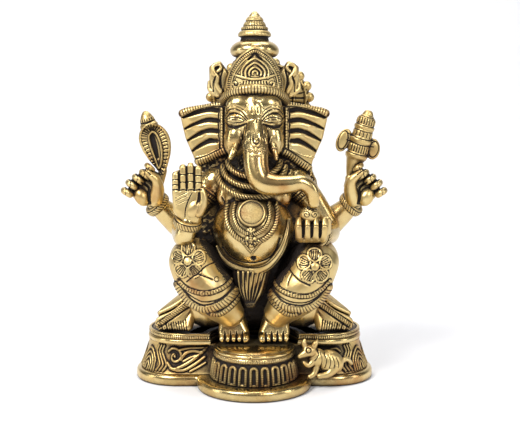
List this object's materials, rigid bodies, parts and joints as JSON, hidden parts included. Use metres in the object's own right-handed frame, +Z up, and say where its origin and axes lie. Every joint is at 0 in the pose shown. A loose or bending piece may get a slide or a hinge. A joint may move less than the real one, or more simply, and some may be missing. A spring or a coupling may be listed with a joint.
{
  "type": "seated elephant-headed deity statue",
  "caption": "Cast brass statue of a seated elephant-headed, four-armed deity with a tall crown, on a lobed base with a round petal footrest and a small mouse at the front.",
  "frame": {"origin": "centre of the footprint's bounding box, on the surface the statue stands on", "axes": "+Z up, the figure faces -Y, its right hand is at -X"},
  "size_m": [0.1368, 0.0742, 0.19],
  "materials": {
    "polished_brass": "cast, chased and polished",
    "patinated_brass": "cast, dark patina left in the carving"
  },
  "bodies": {
    "root": {"base_slab": "polished_brass", "pedestal_wall": "patinated_brass", "seat_plate": "polished_brass", "footrest_drum": "patinated_brass", "footrest_plate": "polished_brass", "mouse": "polished_brass", "torso": "polished_brass", "waist_roll": "polished_brass", "chest_disc": "polished_brass", "pendant_chain": "polished_brass", "neck_ropes": "patinated_brass", "dhoti_front": "patinated_brass", "sash_tail_right": "patinated_brass", "sash_tail_left": "patinated_brass", "leg_right": "polished_brass", "leg_left": "polished_brass", "foot_right": "polished_brass", "foot_left": "polished_brass", "blessing_arm": "polished_brass", "sweet_arm": "polished_brass", "leaf_arm": "polished_brass", "conch_arm": "polished_brass", "blessing_hand": "polished_brass", "sweet_hand": "polished_brass", "leaf_hand": "polished_brass", "conch_hand": "polished_brass", "blessing_bangle": "polished_brass", "sweet_bangle": "polished_brass", "leaf_bangle": "polished_brass", "conch_bangle": "polished_brass", "sweet": "polished_brass", "leaf_emblem": "patinated_brass", "conch_emblem": "patinated_brass", "head": "polished_brass", "trunk": "polished_brass", "tusk_right": "polished_brass", "tusk_left": "polished_brass", "ear_right": "polished_brass", "ear_left": "polished_brass", "mane": "patinated_brass", "halo": "patinated_brass", "crown_dome": "patinated_brass", "crown_band": "polished_brass", "crown_arch": "polished_brass", "crown_scroll_right": "polished_brass", "crown_scroll_left": "polished_brass", "crown_collar": "polished_brass", "crown_finial": "polished_brass"}
  },
  "joints": []
}
